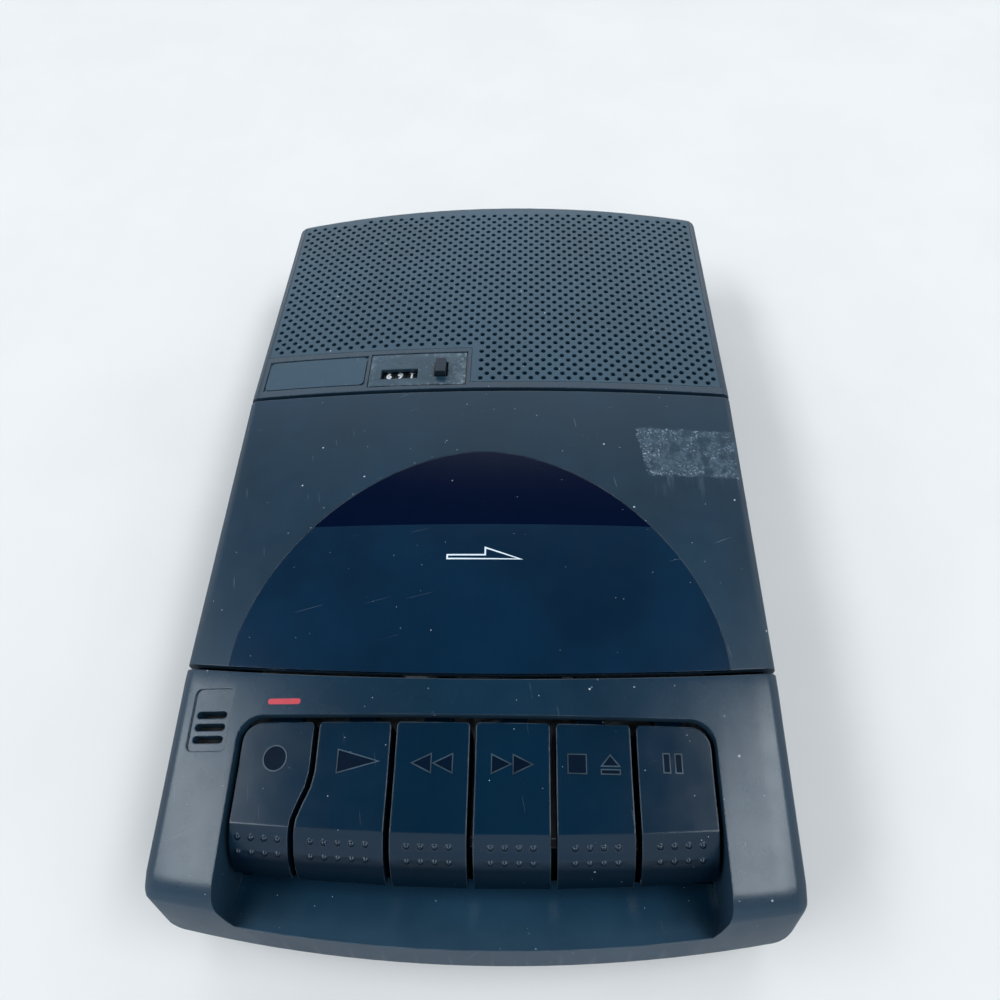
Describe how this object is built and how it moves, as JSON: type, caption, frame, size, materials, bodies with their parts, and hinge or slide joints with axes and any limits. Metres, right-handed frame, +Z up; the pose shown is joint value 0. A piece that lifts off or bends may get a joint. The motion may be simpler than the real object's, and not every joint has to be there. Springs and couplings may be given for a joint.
{
  "type": "portable cassette recorder",
  "caption": "Flat portable cassette recorder with a perforated speaker panel, a hinged cassette lid with a smoked window, a row of piano keys, a tape counter and a pull-out handle.",
  "frame": {"origin": "on the table under the middle of the recorder", "axes": "+X right, +Y towards the speaker end, +Z up, keys at the -Y end"},
  "size_m": [0.153, 0.252, 0.0536],
  "materials": {
    "case_plastic": "satin",
    "lid_plastic": "satin",
    "smoked_window": "gloss",
    "key_plastic": "satin",
    "control_plastic": "satin",
    "counter_wheels": "matt",
    "bright_steel": "plated",
    "dark_steel": "satin",
    "brass": "turned",
    "hub_plastic": "satin",
    "rubber": "matt",
    "cone_paper": "matt",
    "board": "lacquered"
  },
  "bodies": {
    "case": {"bottom_case": "case_plastic", "top_case": "case_plastic", "speaker_grille": "case_plastic", "lid_hinge_pins": "bright_steel", "key_axle": "bright_steel", "key_spring_comb": "bright_steel", "deck_plate": "bright_steel", "deck_posts": "bright_steel", "capstan_bearing": "brass", "motor": "dark_steel", "drive_belt": "rubber", "counter_frame": "control_plastic", "counter_shaft": "bright_steel", "speaker_basket": "dark_steel", "speaker_cone": "cone_paper", "speaker_magnet": "dark_steel", "circuit_board": "board", "board_parts": "board", "volume_pot": "dark_steel", "ear_jack": "control_plastic", "mic_jack": "control_plastic", "dc_jack": "control_plastic", "mic_capsule": "dark_steel", "battery_contacts": "bright_steel", "rubber_feet": "rubber", "case_screws": "bright_steel", "deck_screws": "bright_steel", "speaker_screws": "bright_steel"},
    "lid": {"cassette_lid": "lid_plastic", "lid_window": "smoked_window", "cassette_holder": "lid_plastic"},
    "rec_key": {"rec_key": "key_plastic"},
    "play_key": {"play_key": "key_plastic"},
    "rewind_key": {"rewind_key": "key_plastic"},
    "fast_forward_key": {"fast_forward_key": "key_plastic"},
    "stop_eject_key": {"stop_eject_key": "key_plastic"},
    "pause_key": {"pause_key": "key_plastic"},
    "capstan": {"capstan_shaft": "bright_steel", "flywheel": "dark_steel"},
    "motor_rotor": {"motor_pulley": "brass"},
    "supply_reel": {"supply_hub": "hub_plastic"},
    "takeup_reel": {"takeup_hub": "hub_plastic"},
    "heads": {"head_slide": "bright_steel", "record_play_head": "bright_steel", "erase_head": "hub_plastic"},
    "pinch_lever": {"pinch_arm": "bright_steel"},
    "pinch_wheel": {"pinch_roller": "rubber"},
    "eject_slide": {"eject_slide": "bright_steel"},
    "counter_units": {"counter_units": "counter_wheels"},
    "counter_tens": {"counter_tens": "counter_wheels"},
    "counter_hundreds": {"counter_hundreds": "counter_wheels"},
    "reset_button": {"reset_button": "control_plastic"},
    "volume_wheel": {"volume_wheel": "control_plastic"},
    "carry_handle": {"carry_handle": "case_plastic"},
    "battery_door": {"battery_door": "case_plastic"}
  },
  "joints": [
    {"name": "lid_hinge", "type": "hinge", "parent": "case", "child": "lid", "pos_m": [0, 0.049, 0.042], "axis": [-1, 0, 0], "range_deg": [0, 40]},
    {"name": "rec_press", "type": "hinge", "parent": "case", "child": "rec_key", "pos_m": [0, -0.068, 0.039], "axis": [1, 0, 0], "range_deg": [0, 6], "stiffness_Nm_per_rad": 1.2, "deforming": ["key_spring_comb"]},
    {"name": "play_press", "type": "hinge", "parent": "case", "child": "play_key", "pos_m": [0, -0.068, 0.039], "axis": [1, 0, 0], "range_deg": [0, 6], "stiffness_Nm_per_rad": 1.2, "deforming": ["key_spring_comb"]},
    {"name": "rewind_press", "type": "hinge", "parent": "case", "child": "rewind_key", "pos_m": [0, -0.068, 0.039], "axis": [1, 0, 0], "range_deg": [0, 6], "stiffness_Nm_per_rad": 1.2, "deforming": ["key_spring_comb"]},
    {"name": "fast_forward_press", "type": "hinge", "parent": "case", "child": "fast_forward_key", "pos_m": [0, -0.068, 0.039], "axis": [1, 0, 0], "range_deg": [0, 6], "stiffness_Nm_per_rad": 1.2, "deforming": ["key_spring_comb"]},
    {"name": "stop_eject_press", "type": "hinge", "parent": "case", "child": "stop_eject_key", "pos_m": [0, -0.068, 0.039], "axis": [1, 0, 0], "range_deg": [0, 6], "stiffness_Nm_per_rad": 1.2, "deforming": ["key_spring_comb"]},
    {"name": "pause_press", "type": "hinge", "parent": "case", "child": "pause_key", "pos_m": [0, -0.068, 0.039], "axis": [1, 0, 0], "range_deg": [0, 6], "stiffness_Nm_per_rad": 1.2, "deforming": ["key_spring_comb"]},
    {"name": "capstan_spin", "type": "hinge", "parent": "case", "child": "capstan", "pos_m": [0.0226, -0.0464, 0.03], "axis": [0, 0, 1], "continuous": true},
    {"name": "motor_spin", "type": "hinge", "parent": "case", "child": "motor_rotor", "pos_m": [-0.04, -0.0122, 0.03], "axis": [0, 0, 1], "continuous": true},
    {"name": "supply_spin", "type": "hinge", "parent": "case", "child": "supply_reel", "pos_m": [-0.02125, -0.0192, 0.03], "axis": [0, 0, 1], "continuous": true},
    {"name": "takeup_spin", "type": "hinge", "parent": "case", "child": "takeup_reel", "pos_m": [0.02125, -0.0192, 0.03], "axis": [0, 0, 1], "continuous": true},
    {"name": "head_travel", "type": "slide", "parent": "case", "child": "heads", "axis": [0, 1, 0], "range_m": [0, 0.003]},
    {"name": "pinch_swing", "type": "hinge", "parent": "case", "child": "pinch_lever", "pos_m": [0.04, -0.061, 0.03], "axis": [0, 0, -1], "range_deg": [0, 10]},
    {"name": "pinch_spin", "type": "hinge", "parent": "pinch_lever", "child": "pinch_wheel", "pos_m": [0.0229, -0.0556, 0.03], "axis": [0, 0, 1], "continuous": true},
    {"name": "eject_travel", "type": "slide", "parent": "case", "child": "eject_slide", "axis": [0, -1, 0], "range_m": [0, 0.002]},
    {"name": "units_turn", "type": "hinge", "parent": "case", "child": "counter_units", "pos_m": [-0.0282, 0.0357, 0.04445], "axis": [-1, 0, 0], "continuous": true},
    {"name": "tens_turn", "type": "hinge", "parent": "case", "child": "counter_tens", "pos_m": [-0.0282, 0.0357, 0.04445], "axis": [-1, 0, 0], "continuous": true},
    {"name": "hundreds_turn", "type": "hinge", "parent": "case", "child": "counter_hundreds", "pos_m": [-0.0282, 0.0357, 0.04445], "axis": [-1, 0, 0], "continuous": true},
    {"name": "reset_press", "type": "slide", "parent": "case", "child": "reset_button", "axis": [0, 0, -1], "range_m": [0, 0.002], "stiffness_N_per_m": 400},
    {"name": "volume_turn", "type": "hinge", "parent": "case", "child": "volume_wheel", "pos_m": [0.0665, -0.0307, 0.016], "axis": [0, 0, 1], "range_deg": [-150, 150]},
    {"name": "handle_slide", "type": "slide", "parent": "case", "child": "carry_handle", "axis": [0, 1, 0], "range_m": [0, 0.028]},
    {"name": "door_lift", "type": "slide", "parent": "case", "child": "battery_door", "axis": [0, 0, -1], "range_m": [0, 0.012]}
  ],
  "couplings": [
    {"joint": "motor_spin", "follows": "capstan_spin", "ratio": 6.8571},
    {"joint": "units_turn", "follows": "takeup_spin", "ratio": 1},
    {"joint": "tens_turn", "follows": "takeup_spin", "ratio": 0.1},
    {"joint": "hundreds_turn", "follows": "takeup_spin", "ratio": 0.01},
    {"joint": "head_travel", "follows": "play_press", "m_per_rad": 0.028648},
    {"joint": "pinch_swing", "follows": "play_press", "ratio": 1.6667},
    {"joint": "eject_travel", "follows": "stop_eject_press", "m_per_rad": 0.019099}
  ]
}
